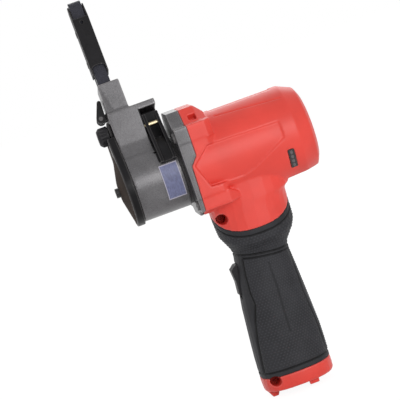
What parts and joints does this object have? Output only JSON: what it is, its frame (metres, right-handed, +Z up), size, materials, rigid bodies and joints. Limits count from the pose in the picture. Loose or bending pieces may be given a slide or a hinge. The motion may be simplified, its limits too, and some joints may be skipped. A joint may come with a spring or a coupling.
{
  "type": "power file",
  "caption": "Cordless band file: pistol body with geared motor, turning head, and a slim sprung arm that runs a narrow abrasive belt over a small nose roller.",
  "frame": {"origin": "centre of the battery socket's mouth, in the middle of the handle's bottom rim", "axes": "+Z up the handle, -X towards the belt head, +Y away from the pictured side"},
  "size_m": [0.1422, 0.0744, 0.306],
  "materials": {
    "housing_red": "fine satin",
    "grip_rubber": "fine dotted matt",
    "screw_black": "black oxide",
    "cast_grey": "matt cast",
    "steel": "ground",
    "dark_steel": "dark",
    "brass": "satin",
    "copper": "enamelled wire",
    "black_plastic": "satin",
    "board_green": "coated",
    "lens_dark": "gloss",
    "black_metal": "black satin",
    "foil": "satin foil",
    "tyre": "matt",
    "belt": "dark abrasive grit"
  },
  "bodies": {
    "body": {"right_housing": "housing_red", "left_housing": "housing_red", "right_grip": "grip_rubber", "left_grip": "grip_rubber", "housing_screws": "screw_black", "gearcase": "cast_grey", "gearcase_screws": "screw_black", "swivel_washer": "black_plastic", "ring_gear": "steel", "motor_plate": "cast_grey", "front_motor_bearing": "steel", "rear_motor_bearing": "steel", "stator_core": "dark_steel", "stator_windings": "copper", "front_spindle_bearing": "steel", "rear_spindle_bearing": "steel", "switch_module": "black_plastic", "control_board": "board_green", "terminal_block": "black_plastic", "charge_gauge": "lens_dark"},
    "trigger": {"trigger": "black_plastic"},
    "drive": {"spindle": "steel", "drive_wheel": "cast_grey", "wheel_tyre": "tyre", "spindle_screw": "screw_black"},
    "rotor": {"rotor_core": "dark_steel", "rotor_shaft": "steel", "motor_pinion": "steel", "fan": "black_plastic"},
    "planet_a": {"planet_gear_a": "steel"},
    "planet_b": {"planet_gear_b": "steel"},
    "planet_c": {"planet_gear_c": "steel"},
    "head": {"head_casting": "cast_grey", "side_cover": "black_plastic", "foil_plate": "foil", "clamp_pin": "brass", "lock_pin": "steel", "abrasive_belt": "belt", "arm_spring": "steel"},
    "clamp_lever": {"clamp_lever": "black_metal"},
    "lock_lever": {"lock_lever": "black_metal"},
    "tracking_knob": {"tracking_knob": "black_plastic"},
    "arm": {"arm_bar": "dark_steel", "arm_channel": "black_metal", "arm_rivets": "dark_steel", "nose_axle": "steel"},
    "nose_roller": {"nose_roller": "dark_steel"}
  },
  "joints": [
    {"name": "head_swivel", "type": "hinge", "parent": "body", "child": "head", "pos_m": [0, 0, 0.167], "axis": [1, 0, 0], "range_deg": [-75, 105]},
    {"name": "drive_spin", "type": "hinge", "parent": "body", "child": "drive", "pos_m": [0, 0, 0.167], "axis": [1, 0, 0], "continuous": true},
    {"name": "rotor_spin", "type": "hinge", "parent": "body", "child": "rotor", "pos_m": [0, 0, 0.167], "axis": [1, 0, 0], "continuous": true},
    {"name": "planet_a_spin", "type": "hinge", "parent": "drive", "child": "planet_a", "pos_m": [-0.02, 0.0108, 0.167], "axis": [1, 0, 0], "continuous": true},
    {"name": "planet_b_spin", "type": "hinge", "parent": "drive", "child": "planet_b", "pos_m": [-0.02, -0.0054, 0.17635], "axis": [1, 0, 0], "continuous": true},
    {"name": "planet_c_spin", "type": "hinge", "parent": "drive", "child": "planet_c", "pos_m": [-0.02, -0.0054, 0.15765], "axis": [1, 0, 0], "continuous": true},
    {"name": "trigger_pull", "type": "slide", "parent": "body", "child": "trigger", "axis": [1, 0, 0], "range_m": [0, 0.006], "stiffness_N_per_m": 900, "springref_m": -0.004},
    {"name": "arm_slide", "type": "slide", "parent": "head", "child": "arm", "axis": [0, 0.2588, 0.9659], "range_m": [-0.007, 0], "stiffness_N_per_m": 900, "springref_m": 0.012, "deforming": ["arm_spring", "abrasive_belt"]},
    {"name": "nose_roller_spin", "type": "hinge", "parent": "arm", "child": "nose_roller", "pos_m": [-0.0595, 0.03416, 0.2945], "axis": [1, 0, 0], "continuous": true},
    {"name": "clamp_lever_swing", "type": "hinge", "parent": "head", "child": "clamp_lever", "pos_m": [-0.038, -0.00131, 0.20462], "axis": [-1, 0, 0], "range_deg": [0, 55]},
    {"name": "lock_lever_swing", "type": "hinge", "parent": "head", "child": "lock_lever", "pos_m": [-0.0702, 0.01356, 0.21762], "axis": [0, -0.9659, 0.2588], "range_deg": [0, 60]},
    {"name": "tracking_turn", "type": "hinge", "parent": "head", "child": "tracking_knob", "pos_m": [-0.072, 0.01046, 0.20602], "axis": [1, 0, 0], "range_deg": [-180, 180]}
  ],
  "couplings": [
    {"joint": "rotor_spin", "follows": "drive_spin", "ratio": 4.5},
    {"joint": "planet_a_spin", "follows": "drive_spin", "ratio": -2.8},
    {"joint": "planet_b_spin", "follows": "drive_spin", "ratio": -2.8},
    {"joint": "planet_c_spin", "follows": "drive_spin", "ratio": -2.8},
    {"joint": "nose_roller_spin", "follows": "drive_spin", "ratio": 2.2727}
  ]
}
